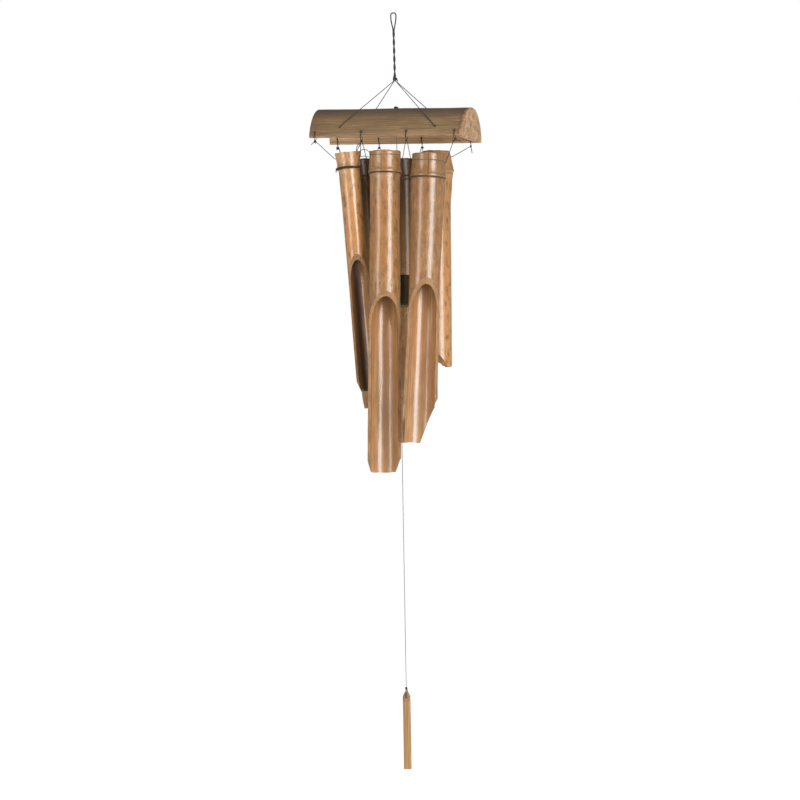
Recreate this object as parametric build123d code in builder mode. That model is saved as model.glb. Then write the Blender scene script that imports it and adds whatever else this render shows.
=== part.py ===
# A hanging bamboo wind chime: a split half culm carries six bamboo tubes in two rows,
# and a wooden clapper with a long tail string and a wind catcher swings between the rows.
# Millimetres. +Z is up, +X runs along the bar to the viewer's right, +Y points away from the
# front. The origin is the inside of the hanging loop's top, where a hook bears.

import os
from math import acos, asin, atan2, cos, degrees, radians, sin, sqrt, tan

from build123d import *

os.makedirs("parts", exist_ok=True)

# ---------------------------------------------------------------- driving dimensions
edge_height = -200.0  # the bar's lower edges at mid-length, below the hook
bar_length = 250.0
bar_radius = 54.2  # outer radius of the culm the bar was split from
bar_drop = 4.2  # the split runs this far above the culm's axis
bar_wall = 5.5
bar_tilt = 2.2  # degrees, the right end hangs lower
end_node_thickness = 7.0  # the culm's own joint, sawn flush at the right end

tie_hole_radius = 1.5
tie_hole_height = 9.0  # above the lower edge
front_tie_x = [-115.5, -39.5, 34.0, 112.0]
back_tie_x = [-112.0, -43.0, 28.0, 108.0]
row_offset = 51.2  # the rows of knots, before and behind the middle
knot_drop = 5.5  # a tie's knot below the bar's edge
knot_radius = 2.3
joint_gap = 0.4  # between a still knot and the strand that swings on it
strand_spread = 1.1  # two neighbouring tubes' strands leave a knot this far off its middle

cord_size = 1.2
hanger_hole_x = [-76.0, 79.5]
hanger_hole_height = 16.0
hanger_knot_height = 98.0  # above the bar's edges
hanger_knot_radius = 3.4
loop_cord_size = 2.0
hook_radius = 3.4

string_x = 2.0  # the clapper's plumb line
string_size = 1.1
string_hole_radius = 2.1
ridge_knot_radius = 3.0
clapper_diameter = 42.0
clapper_height = 49.0
clapper_top = -212.0  # below the bar's edges
clapper_bore_radius = 1.2
lower_knot_radius = 2.6
tail_length = 591.6
catcher_length = 120.0
catcher_width = 12.5
catcher_thickness = 3.6
catcher_hole_drop = 11.0
catcher_hole_radius = 1.3

# Each tube: where its rim and foot hang (x, and height below the bar's edges), its outline
# from the rim down (depth, radius), its mouth (depth, turn from the front towards the
# right), and the bevels left and right of the foot (how far in, how high). Tube 1 has its foot
# tucked behind tube 3 and rests this many degrees back from plumb.
tubes = {
    "tube_1": dict(
        row=-1, ties=(0, 1), rim=(-62.8, -21.0), foot=(-41.0, -393.0),
        outline=[(0, 19.6), (10, 18.2), (21, 17.9), (32, 17.0), (80, 16.8)],
        foot_radius=16.8, wall=3.4, hole_depth=9.0, node_depth=21.0, wrapped=True,
        mouth_depth=159.0, scoop=42.0, mouth_turn=20.0, bevels=((6.5, 15.0), (6.5, 15.0)),
        tuck=3.6,
    ),
    "tube_2": dict(
        row=1, ties=(0, 1), rim=(-77.0, -21.5), foot=(-60.0, -416.0),
        outline=[(0, 20.5), (12, 20.0), (30, 21.2), (42, 20.0), (90, 19.5)],
        foot_radius=19.5, wall=3.6, hole_depth=12.0, node_depth=30.0, wrapped=False,
        mouth_depth=175.0, scoop=45.0, mouth_turn=180.0, bevels=((6.5, 28.0), (6.5, 28.0)),
    ),
    "tube_3": dict(
        row=-1, ties=(1, 2), rim=(-1.2, -22.5), foot=(-7.7, -520.5),
        outline=[(0, 24.6), (16, 24.2), (31, 25.4), (44, 24.4), (110, 24.8)],
        foot_radius=26.0, wall=4.2, hole_depth=24.0, node_depth=31.0, wrapped=True,
        mouth_depth=219.0, scoop=47.0, mouth_turn=22.0, bevels=((5.5, 16.0), (6.5, 19.0)),
    ),
    "tube_4": dict(
        row=1, ties=(1, 2), rim=(-7.5, -23.8), foot=(-9.5, -472.0),
        outline=[(0, 22.8), (14, 22.3), (30, 23.6), (42, 22.6), (100, 22.8)],
        foot_radius=23.2, wall=4.0, hole_depth=14.0, node_depth=30.0, wrapped=False,
        mouth_depth=200.0, scoop=46.0, mouth_turn=180.0, bevels=((6.0, 20.0), (6.0, 20.0)),
    ),
    "tube_5": dict(
        row=-1, ties=(2, 3), rim=(69.9, -30.0), foot=(49.0, -476.0),
        outline=[(0, 25.6), (18, 25.8), (34, 27.3), (46, 26.6), (120, 24.8), (205, 23.7)],
        foot_radius=27.5, wall=4.4, hole_depth=15.0, node_depth=34.0, wrapped=True,
        mouth_depth=194.0, scoop=50.0, mouth_turn=27.0, bevels=((22.0, 70.0), (6.5, 36.0)),
    ),
    "tube_6": dict(
        row=1, ties=(2, 3), rim=(51.0, -14.5), foot=(48.0, -354.0),
        outline=[(0, 21.6), (13, 24.0), (31, 27.2), (45, 24.8), (90, 22.2)],
        foot_radius=22.0, wall=4.0, hole_depth=10.0, node_depth=31.0, wrapped=False,
        mouth_depth=165.0, scoop=44.0, mouth_turn=-80.0, bevels=((6.5, 18.0), (6.5, 18.0)),
    ),
}

# ---------------------------------------------------------------- shared helpers
bar_place = Location((0, 0, edge_height), (0, bar_tilt, 0))
parts = {}


def keep(name, part):
    part.label = name
    parts[name] = part
    export_step(part, f"parts/{name}.step")


def on_bar(x, y, z):
    return (bar_place * Pos(x, y, z)).position


def from_bar(point):
    return (bar_place.inverse() * Pos(*point)).position


def cord_part(route, radii, size, knots=()):
    """A round cord along straight runs and tangent arcs, with a ball for each knot on it."""
    with BuildPart() as strand:
        with BuildLine() as path:
            if radii:
                FilletPolyline(*route, radius=radii)
            else:
                Line(*route)
        with BuildSketch(Plane(origin=path.line @ 0, z_dir=path.line % 0)):
            Circle(size / 2)
        sweep(path=path.line)
        for centre, radius in knots:
            with Locations(Location(tuple(centre), (35, 50, 20))):
                Sphere(radius)
    return strand.part


def widest_bend(before, corner, after):
    """The arc that two runs allow: 0.45 of the shorter one over the tangent of half the turn."""
    first = corner - before
    second = after - corner
    turn = radians(first.get_angle(second))
    return 0.45 * min(first.length, second.length) / tan(turn / 2)


def radius_at(outline, foot_depth, foot_radius, depth):
    points = outline + [(foot_depth, foot_radius)]
    for (upper, wide), (lower, narrow) in zip(points, points[1:]):
        if upper <= depth <= lower:
            return wide + (narrow - wide) * (depth - upper) / (lower - upper)
    return foot_radius


# ---------------------------------------------------------------- top bar
bar_crown = bar_radius - bar_drop
with BuildPart() as level_bar:
    with BuildSketch(Plane.YZ.offset(-bar_length / 2)) as culm_wall:
        with Locations((0, -bar_drop)):
            Circle(bar_radius)
            Circle(bar_radius - bar_wall, mode=Mode.SUBTRACT)
        with Locations((0, bar_radius)):
            Rectangle(3 * bar_radius, 2 * bar_radius, mode=Mode.INTERSECT)
    extrude(amount=bar_length)
    with BuildSketch(Plane.YZ.offset(bar_length / 2)) as end_node:
        with Locations((0, -bar_drop)):
            Circle(bar_radius - bar_wall / 2)
        with Locations((0, bar_radius)):
            Rectangle(3 * bar_radius, 2 * bar_radius, mode=Mode.INTERSECT)
    extrude(amount=-end_node_thickness)
    for side, row in ((-1, front_tie_x), (1, back_tie_x)):
        for x in row:
            with Locations((x, side * row_offset, tie_hole_height)):
                Cylinder(tie_hole_radius, 5 * bar_wall, rotation=(90, 0, 0), mode=Mode.SUBTRACT)
        for x in hanger_hole_x:
            with Locations((x, side * row_offset, hanger_hole_height)):
                Cylinder(tie_hole_radius, 5 * bar_wall, rotation=(90, 0, 0), mode=Mode.SUBTRACT)
    string_hole = from_bar((string_x, 0, edge_height + bar_crown))
    with Locations((string_hole.X, 0, bar_crown)):
        Cylinder(string_hole_radius, 4 * bar_wall, mode=Mode.SUBTRACT)
keep("top_bar", level_bar.part.moved(bar_place))

# ---------------------------------------------------------------- hanging loop and its four lines
hanger_knot = Vector(0.8, 0, edge_height + hanger_knot_height)
loop_side = hook_radius + loop_cord_size / 2
loop_foot = hanger_knot.Z + hanger_knot_radius - 0.6
keep("hanger_loop", cord_part(
    [
        Vector(hanger_knot.X - loop_cord_size * 0.55, 0, loop_foot),
        Vector(-loop_side, 0, loop_cord_size / 2),
        Vector(loop_side, 0, loop_cord_size / 2),
        Vector(hanger_knot.X + loop_cord_size * 0.55, 0, loop_foot),
    ],
    [loop_side * 0.9, loop_side * 0.9],
    loop_cord_size,
))

with BuildPart() as hanger_knot_ball:
    with Locations(hanger_knot + Vector(-1.1, 0, -1.2), hanger_knot + Vector(1.1, 0, -1.2)):
        Sphere(2.7)
    with Locations(hanger_knot + Vector(0, -0.8, 1.1), hanger_knot + Vector(0, 0.8, 1.1)):
        Sphere(2.4)
hanger_knot_clear = hanger_knot_ball.part - parts["hanger_loop"]
keep("hanger_knot", hanger_knot_clear)

line_radius = bar_radius + cord_size / 2 + 0.4  # the lines lie on the bar at this radius
knot_over_bar = from_bar(hanger_knot)
stop_knots = []
for side, side_name in ((-1, "front"), (1, "back")):
    for hole_x, end_name in zip(hanger_hole_x, ("left", "right")):
        top_height = knot_over_bar.Z - 4.6 + bar_drop
        touch = acos(line_radius / top_height)
        hole = acos((hanger_hole_height + bar_drop) / line_radius)
        middle = (touch + hole) / 2
        straight = sqrt(top_height**2 - line_radius**2)
        bent = line_radius * tan((hole - touch) / 2)
        start_x = knot_over_bar.X + (1.6 if hole_x > 0 else -1.6)
        slope = (hole_x - start_x) / (straight + 2 * bent)
        corner_radius = line_radius / cos((hole - touch) / 2)
        route = [
            on_bar(start_x, side * 0.9, top_height - bar_drop),
            on_bar(
                start_x + slope * (straight + bent),
                side * corner_radius * sin(middle),
                corner_radius * cos(middle) - bar_drop,
            ),
            on_bar(hole_x, side * line_radius * sin(hole), hanger_hole_height),
            on_bar(hole_x, side * (row_offset - bar_wall - 3.0), hanger_hole_height),
        ]
        line_bends = [0.8 * widest_bend(*route[:3]), 1.1]
        name = f"hanger_line_{side_name}_{end_name}"
        keep(name, cord_part(route, line_bends, cord_size))
        print(name, "bends", [round(bend, 1) for bend in line_bends])
        stop_knots.append(on_bar(hole_x, side * (row_offset - bar_wall - 5.2), hanger_hole_height))
with BuildPart() as stops:
    with Locations(*stop_knots):
        Sphere(2.1)
keep("hanger_stop_knots", stops.part)

# ---------------------------------------------------------------- ties at the bar's edges
knots = {}
for side, row, row_name in ((-1, front_tie_x, "front"), (1, back_tie_x, "back")):
    for number, x in enumerate(row, start=1):
        knot = on_bar(x, side * row_offset, -knot_drop)
        knots[side, number - 1] = knot
        outer_hole = sqrt(bar_radius**2 - (tie_hole_height + bar_drop) ** 2)
        inner_hole = sqrt((bar_radius - bar_wall) ** 2 - (tie_hole_height + bar_drop) ** 2)
        route = [
            on_bar(x, side * (row_offset + 1.0), -knot_drop + 1.0),
            on_bar(x, side * (bar_radius + 0.75), 0.6),
            on_bar(x, side * (outer_hole + 1.2), tie_hole_height),
            on_bar(x, side * (inner_hole - 1.2), tie_hole_height),
            on_bar(x, side * (bar_radius - bar_wall - 1.1), 0.0),
            on_bar(x, side * (row_offset - 1.0), -knot_drop + 1.0),
        ]
        balls = [(knot, knot_radius)]
        keep(f"tie_{row_name}_{number}", cord_part(route, [1.3, 1.0, 1.0, 1.3], cord_size, balls))


# ---------------------------------------------------------------- the six tubes and their slings
def cup_radius(spec):
    return min(radius for depth, radius in spec["outline"][:2]) - spec["wall"]


def bamboo_tube(spec, length):
    outline = spec["outline"]
    bore = spec["foot_radius"] - spec["wall"]
    cup = cup_radius(spec)
    node = spec["node_depth"]
    turn = radians(spec["mouth_turn"])
    outward = Vector(sin(turn), -cos(turn), 0)
    across = Vector(cos(turn), sin(turn), 0)
    wide = max(radius for depth, radius in outline)
    below = [point for point in reversed(outline) if point[0] > node + 60.0]
    narrows = [(radius - spec["wall"], -depth) for depth, radius in below]
    body_radius = radius_at(outline, length, spec["foot_radius"], spec["mouth_depth"])
    slope = spec["scoop"] / body_radius
    with BuildPart() as tube:
        with BuildSketch(Plane.XZ) as section:
            with BuildLine():
                Spline(
                    *[(radius, -depth) for depth, radius in outline],
                    tangents=[(outline[1][1] - outline[0][1], -outline[1][0]), (0, -1)],
                )
                Polyline(
                    (outline[-1][1], -outline[-1][0]),
                    (spec["foot_radius"], -length),
                    (bore, -length),
                    *narrows,
                    (bore - 0.6, -node - 2.0),
                    (0, -node - 2.0),
                    (0, -node + 1.5),
                    (cup, -node + 3.5),
                    (cup, 0),
                    (outline[0][1], 0),
                )
            make_face()
        revolve(axis=Axis.Z)
        with BuildSketch(Plane(origin=(0, 0, 0), x_dir=outward, z_dir=outward.cross(Vector(0, 0, 1)))):
            with BuildLine():
                FilletPolyline(
                    (wide + 6, -spec["mouth_depth"] + (wide + 6 - body_radius) * slope),
                    (0.5, -spec["mouth_depth"] - spec["scoop"]),
                    (0.5, -length - 5),
                    radius=2.2 * body_radius,
                )
                Polyline(
                    (0.5, -length - 5),
                    (wide + 6, -length - 5),
                    (wide + 6, -spec["mouth_depth"] + (wide + 6 - body_radius) * slope),
                )
            make_face()
        extrude(amount=2 * wide, both=True, mode=Mode.SUBTRACT)
        for side, (inset, height) in zip((1, -1), spec["bevels"]):
            run = inset / height
            foot = spec["foot_radius"]
            with BuildSketch(Plane(origin=(0, 0, 0), x_dir=across, z_dir=outward)):
                with BuildLine():
                    Polyline(
                        (side * (foot + 6), -length + height + 6 / run),
                        (side * (foot - inset - 4 * run), -length - 4),
                        (side * (foot + 6), -length - 4),
                        close=True,
                    )
                make_face()
            extrude(amount=2 * wide, both=True, mode=Mode.SUBTRACT)
        with Locations((0, 0, -spec["hole_depth"])):
            Cylinder(1.15, 4 * wide, rotation=(0, 90, 0), mode=Mode.SUBTRACT)
    return tube.part


hinges = {}
for number, (name, spec) in enumerate(tubes.items(), start=1):
    rim = Vector(spec["rim"][0], spec["row"] * row_offset, edge_height + spec["rim"][1])
    foot = Vector(spec["foot"][0], spec["row"] * row_offset, edge_height + spec["foot"][1])
    length = (foot - rim).length
    lean = degrees(atan2(foot.X - rim.X, rim.Z - foot.Z))
    place = Location(tuple(rim), (0, -lean, 0))
    group = {name: bamboo_tube(spec, length).moved(place)}

    knot_left = knots[spec["row"], spec["ties"][0]]
    knot_right = knots[spec["row"], spec["ties"][1]]
    depth = spec["hole_depth"]
    at_hole = radius_at(spec["outline"], length, spec["foot_radius"], depth)
    for side, side_name, knot in ((-1, "left", knot_left), (1, "right", knot_right)):
        mouth = (place * Pos(side * (at_hole + 1.6), 0, -depth)).position
        inside = (place * Pos(side * (cup_radius(spec) - 2.3), 0, -depth)).position
        start = knot - Vector(side * strand_spread, 0, 0)
        start = start + (mouth - start).normalized() * (knot_radius + joint_gap + 0.2)
        group[f"sling_{number}_{side_name}"] = cord_part(
            [start, mouth, inside], [1.0], cord_size, [(inside, 1.7)]
        )
    if spec["wrapped"]:
        wrap_depth = spec["node_depth"] + 1.5
        wrap_radius = radius_at(spec["outline"], length, spec["foot_radius"], wrap_depth) + 0.75
        with BuildPart() as wrap:
            with Locations((0, 0, -wrap_depth)):
                Torus(wrap_radius, cord_size / 2)
            with Locations(Location((-wrap_radius - 0.9, 0, -wrap_depth), (35, 50, 20))):
                Sphere(1.5)
        group[f"wrap_{number}"] = wrap.part.moved(place)

    # Each tube hangs from the line through its two knots, turned until its centre of mass is
    # straight below that line.
    along = (knot_right - knot_left).normalized()
    upright = along.cross(Vector(0, 1, 0))
    arm = group[name].center(CenterOf.MASS) - knot_left
    turn = spec.get("tuck", 0.0) - degrees(atan2(arm.Y, -arm.dot(upright)))
    line = Axis(knot_left, along)
    for node, part in group.items():
        keep(node, part.rotate(line, turn))
    hinges[name] = (knot_left, along)
    print(name, "length", round(length, 1), "lean", round(lean, 2), "plumb turn", round(turn, 2))

# ---------------------------------------------------------------- clapper, tail and wind catcher
ridge_pivot = Vector(string_x, 0, edge_height + bar_crown + ridge_knot_radius + 0.4)
with BuildPart() as ridge_knot:
    with Locations(ridge_pivot):
        Sphere(ridge_knot_radius)
keep("ridge_knot", ridge_knot.part)

clapper_foot = edge_height + clapper_top - clapper_height
lower_pivot = Vector(string_x, 0, clapper_foot - lower_knot_radius - 0.5)
keep("clapper_string", cord_part(
    [
        ridge_pivot - Vector(0, 0, ridge_knot_radius + joint_gap),
        lower_pivot + Vector(0, 0, lower_knot_radius + joint_gap),
    ],
    None,
    string_size,
))

with BuildPart() as clapper:
    with BuildSketch(Plane.XY.offset(clapper_foot)):
        with Locations((string_x, 0)):
            Circle(clapper_diameter / 2)
            Circle(clapper_bore_radius, mode=Mode.SUBTRACT)
    extrude(amount=clapper_height)
    rims = clapper.edges().filter_by(GeomType.CIRCLE).group_by(SortBy.RADIUS)[-1]
    fillet(rims, radius=1.8)
keep("clapper", clapper.part)

with BuildPart() as lower_knot:
    with Locations(lower_pivot):
        Sphere(lower_knot_radius)
keep("clapper_knot", lower_knot.part)

catcher_knot = lower_pivot - Vector(0, 0, tail_length)
catcher_hole = catcher_knot - Vector(0, 0, catcher_hole_drop + 6.0)
catcher_top = catcher_hole.Z + catcher_hole_drop
catcher_reach = catcher_thickness / 2 + 1.2
keep("tail_string", cord_part(
    [lower_pivot - Vector(0, 0, lower_knot_radius + joint_gap), catcher_knot],
    None,
    string_size,
    [(catcher_knot, 1.9)],
))
keep("catcher_tie", cord_part(
    [
        catcher_knot + Vector(0, -1.6, -1.8),
        Vector(string_x, -catcher_reach, catcher_top + 1.8),
        catcher_hole + Vector(0, -catcher_reach, 0),
        catcher_hole + Vector(0, catcher_reach, 0),
        Vector(string_x, catcher_reach, catcher_top + 1.8),
        catcher_knot + Vector(0, 1.6, -1.8),
    ],
    [1.2, 0.9, 0.9, 1.2],
    string_size,
))

with BuildPart() as catcher:
    with BuildSketch(Plane.XY.offset(catcher_top - catcher_length)):
        with Locations((string_x, 0)):
            Rectangle(catcher_width, catcher_thickness)
    extrude(amount=catcher_length)
    corners = catcher.edges().filter_by(Axis.Y).group_by(Axis.Z)[-1]
    chamfer(corners, length=7.0, length2=4.2)
    with Locations((string_x, 0, catcher_hole.Z)):
        Cylinder(catcher_hole_radius, 4 * catcher_thickness, rotation=(90, 0, 0), mode=Mode.SUBTRACT)
keep("wind_catcher", catcher.part)

# ---------------------------------------------------------------- printed facts
for name, (knot, along) in hinges.items():
    print("hinge", name, [round(v, 3) for v in knot], [round(v, 5) for v in along])
print("ridge pivot", [round(v, 3) for v in ridge_pivot])
print("lower pivot", [round(v, 3) for v in lower_pivot])
print("catcher hole", [round(v, 3) for v in catcher_hole])
section = 3.14159 * (string_size / 2) ** 2
for name in ("clapper_string", "tail_string"):
    box = parts[name].bounding_box()
    print(name, "volume", round(parts[name].volume, 1), "section x length", round(section * box.size.Z, 1))
whole = Compound(children=list(parts.values())).bounding_box()
print("box", [round(v, 1) for v in whole.min], [round(v, 1) for v in whole.max], len(parts), "nodes")
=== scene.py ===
# A hanging bamboo wind chime: a split culm on a cord loop, six cut tubes in two rows,
# a wooden clapper and a long tail string with a wind catcher. Metres, +Z up.
from math import acos, asin, atan2, cos, pi, radians, sin, sqrt, tan

import bmesh
import bpy
from mathutils import Matrix, Vector, noise


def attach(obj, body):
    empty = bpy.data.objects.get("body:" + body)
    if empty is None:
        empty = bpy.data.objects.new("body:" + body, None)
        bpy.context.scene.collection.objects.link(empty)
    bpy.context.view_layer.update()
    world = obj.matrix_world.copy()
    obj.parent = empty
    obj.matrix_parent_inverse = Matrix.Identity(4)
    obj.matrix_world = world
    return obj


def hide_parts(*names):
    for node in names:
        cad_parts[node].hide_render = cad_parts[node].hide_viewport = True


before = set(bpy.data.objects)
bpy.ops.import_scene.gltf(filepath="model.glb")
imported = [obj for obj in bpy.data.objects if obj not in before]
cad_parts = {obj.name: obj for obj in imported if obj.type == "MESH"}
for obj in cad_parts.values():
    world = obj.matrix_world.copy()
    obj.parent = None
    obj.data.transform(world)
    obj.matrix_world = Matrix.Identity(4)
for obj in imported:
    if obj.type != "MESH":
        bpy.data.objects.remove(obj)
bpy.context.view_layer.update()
mm = 0.001
scene = bpy.context.scene
print("frame loaded:", len(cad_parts), "nodes")

# camera
view = dict(
    azimuth=17.38,   # degrees to the right of the bar's front
    distance=6.0,
    height=-0.886,   # the eye is well below the bar
    aim=-0.607,      # the height it looks at
    roll=1.0,
    width=1.248,     # metres across the picture at the chime
)


def standAt(azimuth, distance, height, aimHeight):
    # a place round the chime, turned to face its middle line at this height
    turn = radians(azimuth)
    place = Vector((sin(turn) * distance, -cos(turn) * distance, height))
    look = (Vector((0, 0, aimHeight)) - place).to_track_quat("-Z", "Y").to_matrix().to_4x4()
    return Matrix.Translation(place) @ look


def placeCamera():
    data = bpy.data.cameras.new("camera")
    data.sensor_width = 36
    data.lens = 36 * view["distance"] / view["width"]
    data.clip_end = 100
    camera = bpy.data.objects.new("camera", data)
    scene.collection.objects.link(camera)
    stand = standAt(view["azimuth"], view["distance"], view["height"], view["aim"])
    camera.matrix_world = stand @ Matrix.Rotation(radians(-view["roll"]), 4, "Z")
    scene.camera = camera


placeCamera()

# the sizes that the cords and the bamboo share, in millimetres as the maker has them
bar = dict(
    edgeHeight=-200.0, length=250.0, radius=54.2, wall=5.5, nodeThickness=7.0,
    drop=4.2,        # the culm's middle line lies this far below its split edges
    tilt=2.2,        # degrees, the right end hangs lower
    frontTies=[-115.5, -39.5, 34.0, 112.0], backTies=[-112.0, -43.0, 28.0, 108.0],
    knotRow=51.2, knotDrop=5.5, tieHole=1.5, tieHoleHeight=9.0,
    hangerHoles=[-76.0, 79.5], hangerHoleHeight=16.0, stringHole=2.1,
)
bothRows = ((-1, "front"), (1, "back"))
cordSize = 1.2
# rim and foot are the ends of a tube's middle line, along the bar and up from its edge height, and
# plumb is the swing in degrees that it hangs at. An outline is (depth below the rim, radius), the
# holes, node, septum and mouth are depths too, and a bevel is (how far in, how high).
tubes = {
    "tube_1": dict(
        row=-1, ties=(0, 1), rim=(-62.8, -21.0), foot=(-41.0, -393.0), plumb=2.54,
        outline=[(0, 20.3), (10, 18.9), (21, 18.0), (32, 16.5), (80, 15.6), (150, 15.8)],
        footRadius=16.8, wall=3.4, hole=9.0, node=21.0, septum=None, crack=None,
        mouth=159.0, scoop=42.0, mouthTurn=20.0, bevels=((6.5, 15.0), (6.5, 15.0)),
    ),
    "tube_2": dict(
        row=1, ties=(0, 1), rim=(-77.0, -21.5), foot=(-60.0, -416.0), plumb=1.19,
        outline=[(0, 20.5), (12, 20.0), (30, 21.2), (42, 20.0), (90, 19.5)],
        footRadius=19.5, wall=3.6, hole=12.0, node=30.0, septum=None, crack=None,
        mouth=175.0, scoop=45.0, mouthTurn=180.0, bevels=((6.5, 28.0), (6.5, 28.0)),
    ),
    "tube_3": dict(
        row=-1, ties=(1, 2), rim=(-1.2, -22.5), foot=(-7.7, -520.5), plumb=-1.3,
        outline=[(0, 24.6), (16, 24.2), (31, 25.3), (44, 23.5), (110, 23.3), (219, 24.6)],
        footRadius=26.0, wall=4.2, hole=24.0, node=31.0, septum=6.6, crack=None,
        mouth=219.0, scoop=47.0, mouthTurn=22.0, bevels=((8.0, 22.0), (6.5, 19.0)),
    ),
    "tube_4": dict(
        row=1, ties=(1, 2), rim=(-7.5, -23.8), foot=(-9.5, -472.0), plumb=1.32,
        outline=[(0, 22.8), (14, 22.3), (30, 23.6), (42, 22.6), (100, 22.8)],
        footRadius=23.2, wall=4.0, hole=14.0, node=30.0, septum=None, crack=None,
        mouth=200.0, scoop=46.0, mouthTurn=180.0, bevels=((6.0, 20.0), (6.0, 20.0)),
    ),
    "tube_5": dict(
        row=-1, ties=(2, 3), rim=(69.9, -30.0), foot=(49.0, -476.0), plumb=-1.29,
        outline=[(0, 25.6), (18, 25.8), (34, 27.3), (46, 26.6), (120, 24.8), (205, 23.7)],
        footRadius=27.5, wall=4.4, hole=15.0, node=34.0, septum=11.0, crack=(17.0, 34.0),
        mouth=194.0, scoop=50.0, mouthTurn=27.0, bevels=((22.0, 70.0), (6.5, 36.0)),
    ),
    "tube_6": dict(
        row=1, ties=(2, 3), rim=(51.0, -14.5), foot=(48.0, -354.0), plumb=-0.24,
        outline=[(0, 21.6), (13, 24.0), (31, 27.2), (45, 24.8), (90, 22.2)],
        footRadius=22.0, wall=4.0, hole=10.0, node=31.0, septum=None, crack=None,
        mouth=165.0, scoop=44.0, mouthTurn=-80.0, bevels=((6.5, 18.0), (6.5, 18.0)),
    ),
}
pendulum = dict(
    x=2.0, size=1.1, ridgeKnot=3.0, clapperTop=-412.0, clapperHeight=49.0, clapperRadius=21.0,
    lowerKnot=2.6, tail=591.6, catcherLength=120.0, catcherWidth=12.5, catcherThickness=3.6, holeDrop=11.0,
)
barPlace = Matrix.Translation((0, 0, bar["edgeHeight"])) @ Matrix.Rotation(radians(bar["tilt"]), 4, "Y")


def onBar(x, y, z):
    return barPlace @ Vector((x, y, z))


def fromBar(point):
    return barPlace.inverted() @ Vector(point)


def radiusAt(spec, depth):
    # the tube's outer radius, eased between the outline's points
    points = spec["outline"] + [(spec["length"], spec["footRadius"])]
    for (upper, wide), (lower, narrow) in zip(points, points[1:]):
        if depth <= lower:
            share = max(0.0, (depth - upper) / (lower - upper))
            return wide + (narrow - wide) * (0.5 - 0.5 * cos(pi * share))
    return spec["footRadius"]


def boreAt(spec, depth):
    # the bore's radius below the node, one wall inside the outline where the tube narrows
    bore = spec["footRadius"] - spec["wall"]
    points = [(spec["node"] + 2.0, bore - 0.6)]
    points += [(low, radius - spec["wall"]) for low, radius in spec["outline"] if low > spec["node"] + 60.0]
    points.append((spec["length"], bore))
    for (upper, wide), (lower, narrow) in zip(points, points[1:]):
        if depth <= lower:
            return wide + (narrow - wide) * max(0.0, (depth - upper) / (lower - upper))
    return bore


def cupRadius(spec):
    return min(radius for depth, radius in spec["outline"][:2]) - spec["wall"]


knots = {}
for row, rowName in bothRows:
    for number, x in enumerate(bar[f"{rowName}Ties"]):
        knots[row, number] = onBar(x, row * bar["knotRow"], -bar["knotDrop"])
for spec in tubes.values():
    rim = Vector((spec["rim"][0], spec["row"] * bar["knotRow"], bar["edgeHeight"] + spec["rim"][1]))
    foot = Vector((spec["foot"][0], spec["row"] * bar["knotRow"], bar["edgeHeight"] + spec["foot"][1]))
    spec["length"] = (foot - rim).length
    lean = atan2(foot.x - rim.x, rim.z - foot.z)
    left = knots[spec["row"], spec["ties"][0]]
    right = knots[spec["row"], spec["ties"][1]]
    swing = Matrix.Rotation(radians(spec["plumb"]), 4, right - left)
    spec["hang"] = Matrix.Translation(left) @ swing @ Matrix.Translation(-left)
    spec["stand"] = Matrix.Translation(rim) @ Matrix.Rotation(-lean, 4, "Y")
    spec["place"] = spec["hang"] @ spec["stand"]  # the tube's own frame: rim at the origin, foot below

# finishes


class Wire:
    # a node's output that takes part in plain sums
    def __init__(self, finish, socket):
        self.finish = finish
        self.socket = socket

    def sum(self, operation, first, second):
        return self.finish.add("ShaderNodeMath", {"operation": operation}, {0: first, 1: second})

    def __add__(self, other):
        return self.sum("ADD", self, other)

    def __sub__(self, other):
        return self.sum("SUBTRACT", self, other)

    def __rsub__(self, other):
        return self.sum("SUBTRACT", other, self)

    def __mul__(self, other):
        return self.sum("MULTIPLY", self, other)

    __radd__ = __add__
    __rmul__ = __mul__

    def size(self):
        return self.sum("ABSOLUTE", self, 0.0)

    def bearing(self, other):
        return self.sum("ARCTAN2", self, other)

    def ease(self, low, high):
        # 0 below low, 1 above high and smooth between, or the other way round
        down = low > high
        ends = (1.0, 0.0) if down else (0.0, 1.0)
        low, high = min(low, high), max(low, high)
        limits = {0: self, 1: low, 2: high, 3: ends[0], 4: ends[1]}
        return self.finish.add("ShaderNodeMapRange", {"interpolation_type": "SMOOTHSTEP"}, limits)


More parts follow.
